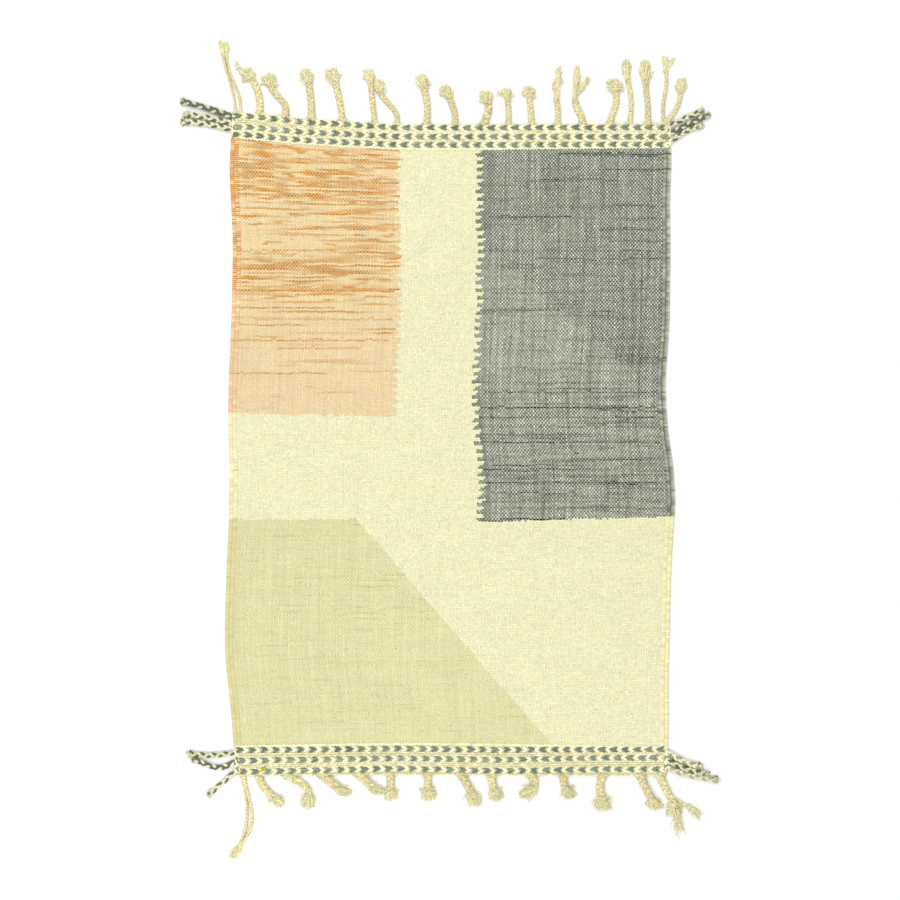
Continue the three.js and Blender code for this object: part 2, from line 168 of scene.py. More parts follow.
loose_seed = np.random.default_rng(5)
warp_count = int(round((CLOTH_WIDE - 2 * SELVEDGE_WIDE) / WARP_PITCH))
pick_count = int(round(CLOTH_LONG / PICK_PITCH))


def crossing_points(across, up, loose=0.0):
    """Places of lattice points, counted in warps and picks, with the wandering of hand weaving."""
    share = across / warp_count
    rise = up / pick_count
    loose = loose * (share > 0) * (share < 1) * (rise > 0) * (rise < 1)
    x, y = cloth_place(share, rise, SELVEDGE_WIDE)
    inside = np.clip(8 * rise * (1 - rise), 0, 1)
    edgewise = np.clip(8 * share * (1 - share), 0, 1)
    y = y + PICK_DRIFT * inside * wander(x, y, 0.23, 0.31, 0.4)
    y = y + 0.6 * PICK_DRIFT * inside * wander(x, y, 0.061, 0.047, 1.9)
    x = x + WARP_DRIFT * edgewise * wander(y, x, 0.29, 0.11, 2.6)
    x = x + loose * loose_seed.normal(0, 1, x.shape)
    y = y + loose * loose_seed.normal(0, 1, x.shape)
    return x, y


corner_i, corner_j = np.meshgrid(np.arange(warp_count + 1), np.arange(pick_count + 1))
corner_x, corner_y = crossing_points(corner_i, corner_j, LOOSE)
corner_z = CLOTH_HIGH + swell(corner_x, corner_y) - CROSSING_VALLEY
cell_i, cell_j = np.meshgrid(np.arange(warp_count), np.arange(pick_count))
cell_x, cell_y = crossing_points(cell_i + 0.5, cell_j + 0.5, LOOSE)
cell_z = CLOTH_HIGH + swell(cell_x, cell_y) + CROSSING_CROWN * loose_seed.uniform(0.6, 1.2, cell_x.shape)
lattice = np.concatenate(
    [
        np.stack([corner_x, corner_y, corner_z], axis=-1).reshape(-1, 3),
        np.stack([cell_x, cell_y, cell_z], axis=-1).reshape(-1, 3),
    ]
)
# Painted shade goes into the valleys between crossings: their corners take full depth and their tops
# none.
lattice_shade_depth = np.concatenate([np.ones(corner_x.size), np.zeros(cell_x.size)])
weft_on_top = (cell_i + cell_j) % 2

# The four wefts. Each block has a weft of its own colour, and where two blocks meet side by side
# their wefts turn on the same few warps, pick by pick, which leaves a row of small teeth. There
# the wefts are packed so tightly that they cover the warps.
PEACH_TEETH = np.array([-3, -1, 0, -1])
GREY_TEETH = np.array([-4, -4, -1, 0])
PEACH_LAST_WARP = 99
GREY_FIRST_WARP = 149
STRAW_TOP = -0.157
LOW_GREY_TOP = 0.17
# Orange shows among the peach from ORANGE_FOOT up, and most of all above ORANGE_THICK.
ORANGE_FOOT = 0.36
ORANGE_THICK = 0.57
join_seed = np.random.default_rng(11)


def toothed(warp, teeth):
    """The first warp past a join at each pick. Every fourth pick starts a new tooth."""
    pick = np.arange(pick_count)
    drift = join_seed.integers(-1, 1, pick_count // 4 + 2)[pick // 4]
    late = join_seed.random(pick_count) > 0.85
    return warp + teeth[pick % 4] + drift + late


peach_end = toothed(PEACH_LAST_WARP, PEACH_TEETH)[cell_j]
grey_start = toothed(GREY_FIRST_WARP, GREY_TEETH)[cell_j]
peach_foot = np.interp(cell_x, [-0.50, -0.113], [0.084, 0.075])
grey_foot = np.interp(cell_x, [0.068, 0.48], [-0.163, -0.152])
straw_right = np.interp(cell_y, [-0.663, STRAW_TOP], [0.227, -0.211])
in_peach = (cell_i < peach_end) & (cell_y > peach_foot)
in_grey = (cell_i >= grey_start) & (cell_y > grey_foot)
low_grey = in_grey & (cell_y < LOW_GREY_TOP)
in_straw = (cell_y < STRAW_TOP) & (cell_x < straw_right)
in_cream = ~(in_peach | in_grey | in_straw)
covered = in_grey * np.interp(cell_i - GREY_FIRST_WARP, [-2, 0, 4, 7], [0.65, 0.45, 0.25, 0])
covered = np.maximum(covered, in_peach * np.interp(cell_i - PEACH_LAST_WARP, [-4, -2, 0], [0, 0.4, 0.7]))

# Darker yarn shows here and there, because the wool was dyed in the fleece and spun by hand. Some
# picks carry it for a hand's length or right across the block, as dotted lines over the warps.
streak_seed = np.random.default_rng(23)
darker = np.zeros(cell_x.shape)


def throw_streaks(block, count, shortest, longest, weakest, strongest, lowest=-1.0):
    """Random stretches of darker weft in a block, from its top down to a lowest place."""
    rows = np.flatnonzero((block & (cell_y > lowest)).any(axis=1))
    place = np.arange(warp_count)
    for _ in range(count):
        pick = streak_seed.choice(rows)
        span = np.flatnonzero(block[pick])
        length = max(2.0, streak_seed.uniform(shortest, longest) / WARP_PITCH)
        middle = streak_seed.uniform(span[0], span[-1])
        fade = np.clip(1.5 - 1.5 * np.abs(place - middle) / (length / 2), 0, 1)
        level = streak_seed.uniform(weakest, strongest) * fade
        darker[pick] = np.where(block[pick], np.maximum(darker[pick], level), darker[pick])


def table(columns, *rows):
    """The rows of a table, each value under its column's name. A short row leaves out the last one."""
    return [dict(zip(columns.split(), row)) for row in rows]


# The picks of darkest yarn. y: height. start and end: where it shows. dark: how dark it is. dip:
# how far its middle sags.
grey_picks = table(
    "y start end dark dip",
    (672, 250, 488, 0.8),
    (668, 300, 470, 0.6),
    (636, 354, 488, 0.6),
    (613, 204, 386, 0.5),
    (554, 368, 465, 0.6),
    (530, 86, 272, 0.8),
    (499, 341, 454, 0.5),
    (474, 363, 477, 0.5),
    (452, 386, 481, 0.5),
    (436, 193, 481, 0.6, 4),
    (316, 79, 250, 0.5),
    (314, 318, 386, 0.4),
    (211, 306, 488, 0.5),
    (196, 330, 488, 0.4),
    (132, 79, 488, 0.6),
    (98, 68, 465, 0.9, 3),
    (89, 341, 488, 0.7),
    (73, 64, 182, 0.6),
    (73, 375, 465, 1.0),
    (54, 200, 488, 0.5),
    (36, 64, 250, 0.6),
    (18, 79, 477, 0.7),
    (-9, 282, 295, 1.0),
    (-41, 61, 243, 0.6, 6),
    (-56, 64, 488, 0.4),
    (-73, 79, 465, 0.7),
    (-76, 350, 430, 1.0),
    (-98, 91, 295, 0.6),
    (-116, 64, 488, 0.4),
    (-132, 100, 488, 0.5),
    (-157, 113, 261, 0.9),
)
peach_picks = table(
    "y start end dark",
    (452, -500, -250, 0.6),
    (363, -500, -160, 0.9),
    (322, -480, -260, 0.7),
    (297, -440, -130, 0.5),
    (284, -500, -330, 0.6),
    (250, -500, -140, 0.6),
    (232, -390, -200, 0.5),
    (175, -500, -280, 0.6),
)


def throw_pick(block, row):
    """One pick of darker yarn that follows the weave from start to end."""
    start = row["start"] * MM
    end = row["end"] * MM
    across = np.clip((cell_x - start) / (end - start), 0, 1)
    line = row["y"] * MM - row.get("dip", 0) * MM * np.sin(np.pi * across)
    nearest = np.abs(cell_y - line).argmin(axis=0)
    chosen = np.zeros(cell_x.shape, bool)
    chosen[nearest, np.arange(warp_count)] = True
    chosen &= block & (cell_x > start) & (cell_x < end)
    uneven = 1.0 + 0.4 * wander(cell_x, cell_y, 0.07, 0.05, row["y"])
    darker[chosen] = np.maximum(darker, np.minimum(row["dark"] * uneven, 1))[chosen]


throw_streaks(in_peach, 50, 0.08, 0.32, 0.5, 1.0, ORANGE_FOOT)
throw_streaks(in_peach, 200, 0.015, 0.08, 0.3, 1.0, 0.34)
throw_streaks(in_peach, 150, 0.02, 0.10, 0.3, 1.0, 0.56)
throw_streaks(in_peach, 30, 0.04, 0.35, 0.3, 0.9, 0.20)
throw_streaks(in_peach, 24, 0.02, 0.25, 0.15, 0.5, 0.12)
throw_streaks(in_peach, 40, 0.01, 0.05, 0.1, 0.4, 0.08)
throw_streaks(in_grey, 200, 0.02, 0.20, 0.1, 0.35)
throw_streaks(in_grey, 30, 0.05, 0.35, 0.2, 0.45)
throw_streaks(low_grey, 45, 0.03, 0.30, 0.2, 0.7)
throw_streaks(in_peach & (cell_x < -0.40) & (cell_y > 0.58), 36, 0.02, 0.10, 0.4, 1.0)
throw_streaks(in_straw, 90, 0.01, 0.12, 0.05, 0.3)
throw_streaks(in_cream, 40, 0.01, 0.10, 0.05, 0.15)
for row in grey_picks:
    throw_pick(in_grey, row)
for row in peach_picks:
    throw_pick(in_peach, row)

# Hand-spun yarn is uneven, so along each pick the weft goes lighter and darker, over the length of
# a finger and of a hand. The grey weft is paler below a slanting line, where its fleece changed.
SLANT_FOOT = 0.12
tone_seed = np.random.default_rng(37)


def slubs(length, yarns=pick_count, crossings=warp_count):
    """Smooth unevenness along each yarn, over a length counted in crossings."""
    window = np.hanning(length + 2)
    window = window / np.sqrt((window**2).sum())
    noise = tone_seed.normal(0, 1, (yarns, crossings))
    return np.array([np.convolve(line, window, "same") for line in noise])


warp_tone = slubs(50, warp_count, pick_count).T
crossing_tone = tone_seed.normal(0, 1, cell_x.shape)
lively = np.select([in_cream, low_grey], [0.12, 1.3], 1.0)
weft_tone = 0.5 * slubs(7) + lively * 0.6 * slubs(60) + 0.5 * crossing_tone
tone = np.where(weft_on_top == 1, weft_tone, 0.8 * crossing_tone)
tone = tone + np.select([in_cream, in_grey], [0.12, 0.8], 0.55) * warp_tone
tone = tone + 0.5 * in_straw * np.clip((cell_x + 0.25) / 0.15, 0, 1)
slant = np.interp(cell_y, [0.18, 0.477], [0.431, 0.075])
under = cell_y <= SLANT_FOOT
paler = np.clip((slant - cell_x) / 0.03, 0, 1) * ~under + 0.85 * under
paler = np.clip(paler + (0.10 + 0.35 * under) * slubs(40), 0, 1)
pinker = np.clip(0.5 + 0.5 * slubs(30) + np.clip((0.34 - cell_y) / 0.1, 0, 0.5), 0, 1)

FIBRE_FINE = 1500
FIBRE_LONG = 380
FIBRE_SHADE = 0.24
PATCH_SHADE = 0.10
BASE_SHADE = 0.85
FLECK_EDGE = 0.035


def wool(
    name, warp, weft, streak_and_shade, uneven, second=None, fleck=None, flecked=0.715, specks=1, painted_hollow_shade=0.30
):
    """Hand-spun wool: the yarn on top, its darker stretches, painted shade between yarns and the fibres.
    uneven: how much its tone varies. second: the other colour of its weft. fleck, flecked, specks:
    the colour of its flecks, how rare and how small they are. The third colour is that of the darker
    yarn and also of painted shade in grooves. The last argument is how dark the painted shade in its
    hollows is."""
    material = bpy.data.materials.new(name)
    material.use_nodes = True
    nodes = material.node_tree.nodes
    links = material.node_tree.links
    shader = nodes["Principled BSDF"]
    shader.inputs["Roughness"].default_value = 0.95
    shader.inputs["Specular IOR Level"].default_value = 0.12
    place = nodes.new("ShaderNodeTexCoord").outputs["Object"]

    def joined(value, socket):
        if isinstance(value, (int, float, tuple)):
            socket.default_value = value
        else:
            links.new(value, socket)

    def number(field):
        node = nodes.new("ShaderNodeAttribute")
        node.attribute_name = field
        return node.outputs["Fac"]

    def mixed(amount, first, other, kind="RGBA"):
        node = nodes.new("ShaderNodeMix")
        node.data_type = kind
        ends = (6, 7, 2) if kind == "RGBA" else (2, 3, 0)
        joined(amount, node.inputs["Factor"])
        joined(first, node.inputs[ends[0]])
        joined(other, node.inputs[ends[1]])
        return node.outputs[ends[2]]

    def worked(kind, first, other, third=0.0):
        node = nodes.new("ShaderNodeMath")
        node.operation = kind
        for value, socket in zip((first, other, third), node.inputs):
            joined(value, socket)
        return node.outputs[0]

    def noise(across, along, detail):
        stretch = nodes.new("ShaderNodeMapping")
        stretch.inputs["Scale"].default_value = (across, along, 700)
        links.new(place, stretch.inputs["Vector"])
        node = nodes.new("ShaderNodeTexNoise")
        node.inputs["Scale"].default_value = 1.0
        node.inputs["Detail"].default_value = detail
        links.new(stretch.outputs["Vector"], node.inputs["Vector"])
        return node.outputs["Fac"]

    over = number("over")
    thread = weft
    if second is not None:
        thread = mixed(number("second"), weft, second)
    colour = mixed(over, warp, thread)
    # The dark field mixes in the third colour: darker yarn in the cloth and the twining, and painted
    # shade in the grooves of the plaits, braids, cut ends and grey selvedge, and on the band's warps.
    colour = mixed(number("dark"), colour, streak_and_shade)
    if fleck is not None:
        spots = nodes.new("ShaderNodeMapRange")
        spots.inputs["From Min"].default_value = flecked
        spots.inputs["From Max"].default_value = flecked + FLECK_EDGE
        links.new(noise(150 * specks, 210 * specks, 1.0), spots.inputs["Value"])
        colour = mixed(spots.outputs["Result"], colour, fleck)
    upright = noise(FIBRE_FINE, FIBRE_LONG, 3.0)
    fibres = mixed(over, upright, noise(FIBRE_LONG, FIBRE_FINE, 3.0), "FLOAT")
    level = worked("MULTIPLY_ADD", number("tone"), uneven, BASE_SHADE)
    level = worked("MULTIPLY_ADD", fibres, FIBRE_SHADE, level)
    level = worked("MULTIPLY_ADD", noise(12, 17, 2.0), PATCH_SHADE, level)
    # Painted shade: the colour darkens with each point's depth, in the hollows between yarns, in grooves
    # and underneath.
    painted_shade = worked("MULTIPLY_ADD", number("shade_depth"), -painted_hollow_shade, 1.0)
    level = worked("MULTIPLY", level, painted_shade)
    shade = nodes.new("ShaderNodeVectorMath")
    shade.operation = "SCALE"
    links.new(colour, shade.inputs[0])
    links.new(level, shade.inputs["Scale"])
    links.new(shade.outputs[0], shader.inputs["Base Color"])
    bump = nodes.new("ShaderNodeBump")
    bump.inputs["Strength"].default_value = 0.4
    bump.inputs["Distance"].default_value = 0.5 * MM
    links.new(fibres, bump.inputs["Height"])
    links.new(bump.outputs["Normal"], shader.inputs["Normal"])
    return material


def woven_block(name, inside, material, second):
    """The crossings of one block, each of four small faces that rise to the yarn on top. Beside a
    warp the weft that dives under it still shows, so it takes a share of those two faces."""
    rows, columns = np.nonzero(inside)
    low_left = rows * (warp_count + 1) + columns
    middle = corner_x.size + rows * warp_count + columns
    ring = [low_left, low_left + 1, low_left + warp_count + 2, low_left + warp_count + 1]
    sides = [np.stack([ring[k], ring[(k + 1) % 4], middle], axis=-1) for k in range(4)]
    triangles = np.stack(sides, axis=1).reshape(-1, 3)
    used, triangles = np.unique(triangles, return_inverse=True)
    beside = np.array([0, 1, 0, 1])
    is_weft = weft_on_top[inside][:, None] == 1
    yarn = darker[inside][:, None]
    shows = (0.55 + 0.4 * yarn) * beside + 0.25 * yarn * (1 - beside)
    over = np.maximum(shows, covered[inside][:, None])
    fields = dict(
        over=np.where(is_weft, 1.0, over).ravel(),
        dark=(yarn * np.where(is_weft, 1.0, 0.25 + 0.6 * beside)).ravel(),
        tone=np.repeat(tone[inside], 4),
        second=np.repeat(second[inside], 4),
    )
    triangles = triangles.reshape(-1, 3)
    return triangle_mesh(name, lattice[used], triangles, lattice_shade_depth[used], fields, [material])


cream_wool = wool(
    "cream_wool", dyed(255, 252, 211), dyed(254, 249, 204), dyed(196, 182, 120), 0.07,
    fleck=dyed(226, 214, 160), painted_hollow_shade=0.35,
)
peach_wool = wool(
    "peach_wool", dyed(248, 236, 186), dyed(244, 218, 158), dyed(210, 134, 0), 0.045,
    second=dyed(246, 210, 172), fleck=dyed(214, 170, 80),
)
grey_wool = wool(
    "grey_wool", dyed(236, 236, 214), dyed(97, 106, 96), dyed(32, 44, 46), 0.15,
    second=dyed(135, 141, 124), fleck=dyed(122, 128, 84), painted_hollow_shade=0.34,
)
straw_wool = wool(
    "straw_wool", dyed(244, 240, 194), dyed(228, 222, 166), dyed(172, 158, 92), 0.045,
    fleck=dyed(196, 184, 120),
)
block_wools = [cream_wool, peach_wool, grey_wool, straw_wool]
blocks = [
    woven_block("cream_ground", in_cream, cream_wool, pinker),
    woven_block("peach_block", in_peach, peach_wool, pinker),
    woven_block("grey_block", in_grey, grey_wool, paler),
    woven_block("straw_block", in_straw, straw_wool, pinker),
]


def block_at(rows, columns):
    """Which of the blocks' wools each of these crossings has."""
    crossings = (rows, columns)
    return np.select([in_peach[crossings], in_grey[crossings], in_straw[crossings]], [1, 2, 3], 0)


# The reverse of the cloth, which lies on the floor. The wefts go right through, so it shows the
# same blocks. It is laid in coarser crossings than the face, because nobody sees it up close.
BACK_STEP = 2
BACK_HIGH = 0.15 * MM
BACK_DIP = 0.1 * MM
back_i = np.unique(np.append(np.arange(0, warp_count, BACK_STEP), warp_count))
back_j = np.unique(np.append(np.arange(0, pick_count, BACK_STEP), pick_count))
back_u, back_v = np.meshgrid(back_i, back_j)
back_x, back_y = crossing_points(back_u, back_v)
back_z = BACK_HIGH + BACK_DIP * ((back_u // BACK_STEP + back_v // BACK_STEP) % 2)
back_rows, back_columns = np.meshgrid(
    np.arange(len(back_j) - 1), np.arange(len(back_i) - 1), indexing="ij"
)
back_start = (back_rows * len(back_i) + back_columns).ravel()
back_next = back_start + len(back_i)
back_faces = np.concatenate(
    [
        np.stack([back_start, back_next, back_next + 1], axis=-1),
        np.stack([back_start, back_next + 1, back_start + 1], axis=-1),
    ]
)
behind_i = np.minimum(back_i[back_columns.ravel()], warp_count - 1)
behind_j = np.minimum(back_j[back_rows.ravel()], pick_count - 1)
back_block = block_at(behind_j, behind_i)
back_points = np.stack([back_x, back_y, back_z], axis=-1).reshape(-1, 3)
cloth_back = triangle_mesh(
    "cloth_back",
    back_points,
    back_faces,
    np.zeros(len(back_points)),
    dict(
        over=np.tile((back_rows.ravel() + back_columns.ravel()) % 2, 2),
        dark=np.tile(darker[behind_j, behind_i], 2),
        tone=np.tile(tone[behind_j, behind_i], 2),
        second=np.zeros(len(back_faces)),
    ),
    block_wools,
)
cloth_back.data.polygons.foreach_set("material_index", np.tile(back_block, 2).astype(np.int32))

# The selvedges. Along each side two cords of bundled warps are wrapped by the weft as it turns,
# so each cord is ribbed and takes the colours of the picks that reach it.
CORD_WIDE = 9 * MM
CORD_HIGH = 4.4 * MM
CORD_SIDES = 10
CORD_PINCH = 0.12
cord_seed = np.random.default_rng(53)


def tube_faces(rings, sides, start=0, caps=True):
    """Faces of a tube through its rings, with closed ends unless caps is False."""
    first = np.arange((rings - 1) * sides).reshape(rings - 1, sides) + start
    beside = np.roll(first, -1, axis=1)
    near = np.stack([first, beside, beside + sides], axis=-1).reshape(-1, 3)
    far = np.stack([first, beside + sides, first + sides], axis=-1).reshape(-1, 3)
    faces = [near, far]
    if caps:
        last = start + (rings - 1) * sides
        fan = np.arange(1, sides - 1)
        faces.append(np.stack([start + 0 * fan, start + fan + 1, start + fan], axis=-1))
        faces.append(np.stack([last + 0 * fan, last + fan, last + fan + 1], axis=-1))
    return np.concatenate(faces)


def joined_tubes(name, tubes, wools):
    """One piece of many tubes, each with its rings, faces, depths and fields."""
    rings, faces, shade_depths, fields = zip(*tubes)
    points = [own.reshape(-1, 3) for own in rings]
    starts = np.cumsum([0] + [len(own) for own in points[:-1]])
    faces = np.concatenate([own + start for own, start in zip(faces, starts)])
    fields = {key: np.concatenate([own[key] for own in fields]) for key in fields[0]}
    return triangle_mesh(name, np.concatenate(points), faces, np.concatenate(shade_depths), fields, wools)


def cord_rings(side, place):
    """The rings along one cord, two to a wrap. side: 0 left, 1 right. place: 0 outer, 1 inner."""
    inward = 1 - 2 * side
    count = 2 * int(CLOTH_LONG / PICK_PITCH) + 1
    valley = np.arange(count) % 2
    x, y = cloth_place(np.full(count, float(side)), np.linspace(0, 1, count))
    x = x + CORD_WIDE * (place + 0.55) * inward
    full = 1 - CORD_PINCH * valley + cord_seed.normal(0, 0.03, count)
    turn = -np.pi / 2 + 2 * np.pi * np.arange(CORD_SIDES) / CORD_SIDES
    wide = 0.6 * CORD_WIDE
    slant = 0.5 * MM * np.cos(turn) * inward
    slack = cord_seed.normal(0, 0.15 * MM, count)[:, None]
    ends = (np.arange(count) % (count - 1) != 0)[:, None]
    ring_x = x[:, None] + wide * np.cos(turn) * full[:, None]
    ring_y = y[:, None] + ends * (slant + slack)
    ring_z = 0.1 * MM + 0.5 * CORD_HIGH * (1 + np.sin(turn) * full[:, None])
    ring_z = np.maximum(ring_z + 0.5 * np.maximum(swell(x, y), 0)[:, None], 0.05 * MM)
    # Painted shade: in the valleys between wraps and on the underside of the cord.
    shade_depth = 0.6 * valley[:, None] + 0.3 * (1 - np.sin(turn)) / 2
    outside = -np.cos(turn) * inward + 0 * x[:, None]
    rings = np.stack([ring_x, ring_y, ring_z], axis=-1)
    return rings, np.broadcast_to(shade_depth, ring_z.shape).ravel(), outside.ravel()


def selvedge(name, side):
    """Two cords side by side. Each wrap is the turn of one pick, in the colour that it has there.
    orange: the wraps of orange yarn. groove: painted shade in the hollows beside the inner cord, put on
    the grey wraps only.
    cover: how well the grey weft hides the cord, which is least along the rim."""
    edge = -side
    block = block_at(slice(None), edge)
    cords = []
    wool_of = []
    for place in (0, 1):
        rings, shade_depth, outside = cord_rings(side, place)
        faces = tube_faces(len(rings), CORD_SIDES)
        middle = rings.reshape(-1, 3)[faces].mean(axis=1)
        outside = outside[faces].mean(axis=1)
        wrap = np.abs(middle[:, 1:2] - cell_y[:, edge]).argmin(axis=1)
        beside = block[wrap]
        chance = cord_seed.random(pick_count)[wrap]
        pale = cord_seed.random(pick_count)[wrap]
        thin = np.arange(len(faces)) // CORD_SIDES % 2
        height = middle[:, 1]
        orange = np.clip(5 * (chance - np.where(height > ORANGE_THICK, 0.1, 0.35)), 0, 1)
        orange = np.maximum(orange * (0.2 + 0.8 * thin) * (height > ORANGE_FOOT), 0.15)
        groove = np.clip(np.abs(outside) * (place == 1) - outside * (place == 0) - 0.45, 0, 0.5)
        # The darker colour of each wrap: a fixed tint on cream and straw, orange yarn on peach, and on
        # grey some darker wraps plus painted shade in the grooves.
        shade = np.choose(beside, [0.27, orange, 1.1 * groove + 0.2 * (chance > 0.8), 0.2])
        cover = 0.95 - 0.3 * pale - 0.45 * (place == 0) * (outside > 0.2)
        fields = dict(
            over=np.choose(beside, [1.0, pale > 0.15, cover, 1.0]),
            dark=np.maximum(shade, (0.3 + 0.6 * thin) * darker[wrap, edge]),
            tone=cord_seed.normal(0, 1, pick_count)[wrap] - 1.3 * (beside == 1),
            second=np.where(beside == 1, pale > 0.3, 1.0),
        )
        cords.append((rings, faces, shade_depth, fields))
        wool_of.append(beside)
    piece = joined_tubes(name, cords, block_wools)
    piece.data.polygons.foreach_set("material_index", np.concatenate(wool_of).astype(np.int32))
    return piece


selvedge_left = selvedge("selvedge_left", 0)
selvedge_right = selvedge("selvedge_right", 1)
for piece in [cloth_back, *blocks, selvedge_left, selvedge_right]:
    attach(piece, "root")
    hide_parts("woven_field")

# The twined bands. At each end pairs of yarns are twisted round the warps instead of woven, which
# locks the cloth. Three rows carry a grey and a cream pair that make a chain of arrowheads, and
# plain cream lines run between them. Under them is the strip of warps that they hold.
BAND_LOW = 2.2 * MM
ARROW_PITCH = 27.6 * MM
ARROW_SLANT = np.radians(17)
LINE_STITCH = 7.2 * MM
LINE_SLANT = np.radians(24)
LINE_INSET = 5 * MM
HALF_ROW = 5.9 * MM
TURNS = 9
PLAIN_GRAIN = dict(over=0.0, dark=0.0, second=0.0)
top_free = dict(
    x=[-500, -430, -375, -315, -243, -123, 10, 300, 500],
    y=[765, 763, 758, 750, 747, 739, 738, 739, 742],
)
bottom_free = dict(x=[-500, -114, 200, 500], y=[-739, -736, -738, -739])
top_rows = dict(
    x=[-461, -340, -113, 431],
    outer=[758, 744.5, 730.9, 731.4],
    middle=[732.3, 722, 710.5, 710.6],
    inner=[715, 702.6, 691.9, 692.4],
    paler=[0.2, 0.4, 0.3],
)
bottom_rows = dict(
    x=[-465, -113, 113, 340],
    outer=[-729.4, -722, -728, -724],
    middle=[-704.9, -699.2, -703, -698],
    inner=[-680.3, -677, -680, -679],
    paler=[0.35, 0.6, 0.1],
)
# The two strands in each half of an arrowhead. ahead: how far it lies towards the point. off: from
# the row's middle.
arrow_strands = [
    dict(ahead=1.2, off=1.9, long=14.6, wide=4.7, high=4.6),
    dict(ahead=-0.8, off=3.9, long=12.4, wide=4.6, high=4.1),
]
twined_wool = wool(
    "twined_wool", dyed(249, 246, 208), dyed(106, 123, 113), dyed(216, 198, 128), 0.07,
    second=dyed(160, 168, 150),
)
band_seed = np.random.default_rng(71)


def grain_shape():
    """A grain of yarn: pointed at both ends, with three full rings of six corners, from -1 to 1."""
    turn = -np.pi / 2 + 2 * np.pi * np.arange(6) / 6
    rings = []
    for along, full in ((-0.68, 0.78), (0.0, 1.0), (0.68, 0.78)):
        rings.append(np.stack([0 * turn + along, full * np.cos(turn), full * np.sin(turn)], axis=-1))
    points = np.concatenate([[[-1, 0, 0]], *rings, [[1, 0, 0]]])
    around = np.arange(6)
    beside = (around + 1) % 6
    faces = [
        tube_faces(3, 6, 1, caps=False),
        np.stack([0 * around, 1 + beside, 1 + around], axis=-1),
        np.stack([0 * around + 19, 13 + around, 13 + beside], axis=-1),
    ]
    return points, np.concatenate(faces)


def stitched(name, grains, material):
    """One mesh of many grains of yarn, each with its place, heading, size and colour."""
    grains = list(grains)
    shape, faces = grain_shape()
    all_of = {key: np.array([grain[key] for grain in grains]) for key in grains[0]}
    turned = all_of["heading"]
    heading = np.stack([np.cos(turned), np.sin(turned), 0 * turned], axis=-1)
    side = np.stack([-np.sin(turned), np.cos(turned), 0 * turned], axis=-1)
    half = MM * np.stack([all_of["long"], all_of["wide"], all_of["high"]], axis=-1) / 2
    points = (
        all_of["place"][:, None, :]
        + shape[None, :, 0:1] * (heading * half[:, 0:1])[:, None, :]
        + shape[None, :, 1:2] * (side * half[:, 1:2])[:, None, :]
    )
    points[:, :, 2] += shape[None, :, 2] * half[:, 2:3]
    # Painted shade on each grain, darker towards its underside and at its two tips.
    low = np.clip(0.5 - 0.6 * shape[:, 2], 0, 1) + 0.3 * (np.abs(shape[:, 0]) > 0.9)
    steps = np.arange(len(grains))[:, None, None] * len(shape)
    faces_of = (faces[None] + steps).reshape(-1, 3)
    fields = {key: np.repeat(all_of[key], len(faces)) for key in ("over", "dark", "tone", "second")}
    shade_depth = np.tile(low, len(grains))
    return triangle_mesh(name, points.reshape(-1, 3), faces_of, shade_depth, fields, [material])


def band_lines(free, rows, seam):
    """The heights of the free edge, the three chevron rows and the seam, at any x."""
    lines = [lambda x: np.interp(x / MM, free["x"], free["y"]) * MM]
    for name in ("outer", "middle", "inner"):
        lines.append(lambda x, name=name: np.interp(x / MM, rows["x"], rows[name]) * MM)
    return [*lines, seam]


def between(first, last, part):
    return lambda x: first(x) * (1 - part) + last(x) * part


def slope_at(line, x):
    return np.arctan((line(x + MM) - line(x - MM)) / (2 * MM))


def plain_grains(lines, way):
    """Plain cream lines: a grain for each twist, slanting one way and then the other. way: 1 for
    the top band, -1 for the bottom one."""
    half_row = way * HALF_ROW
    free, outer, middle, inner, seam = lines
    heights = [lambda x: free(x) - way * 1.6 * MM]
    for first, last, parts in ((outer, middle, (0.12, 0.5, 0.88)), (middle, inner, (0.25, 0.75))):
        above = lambda x, line=first: line(x) - half_row
        below = lambda x, line=last: line(x) + half_row
        heights += [between(above, below, part) for part in parts]
    edge = lambda x: seam(x) + way * 1.4 * MM
    heights += [between(lambda x: inner(x) - half_row, edge, 0.45), edge]
    for number, height in enumerate(heights):
        at_seam = number == len(heights) - 1
        left = left_side(height(0.0)) + LINE_INSET
        right = right_side(height(0.0)) - LINE_INSET
        for x in np.arange(left + (number % 2) * LINE_STITCH / 2, right, LINE_STITCH):
            x = x + band_seed.normal(0, 0.5 * MM)
            y = height(x) + band_seed.normal(0, 0.25 * MM)
            slant = LINE_SLANT * (1 if number % 2 == 0 else -1)
            yield dict(
                PLAIN_GRAIN,
                place=(x, y, BAND_LOW + 0.9 * MM),
                heading=slant + slope_at(height, x) + band_seed.normal(0, 0.1),
                long=10.2 + band_seed.normal(0, 0.6),
                wide=4.6 if at_seam else 4.2,
                high=3.2 + band_seed.normal(0, 0.15),
                dark=0.0 if at_seam else np.clip(band_seed.normal(0.28, 0.2), 0, 1),
                tone=band_seed.normal(0, 0.8),
            )


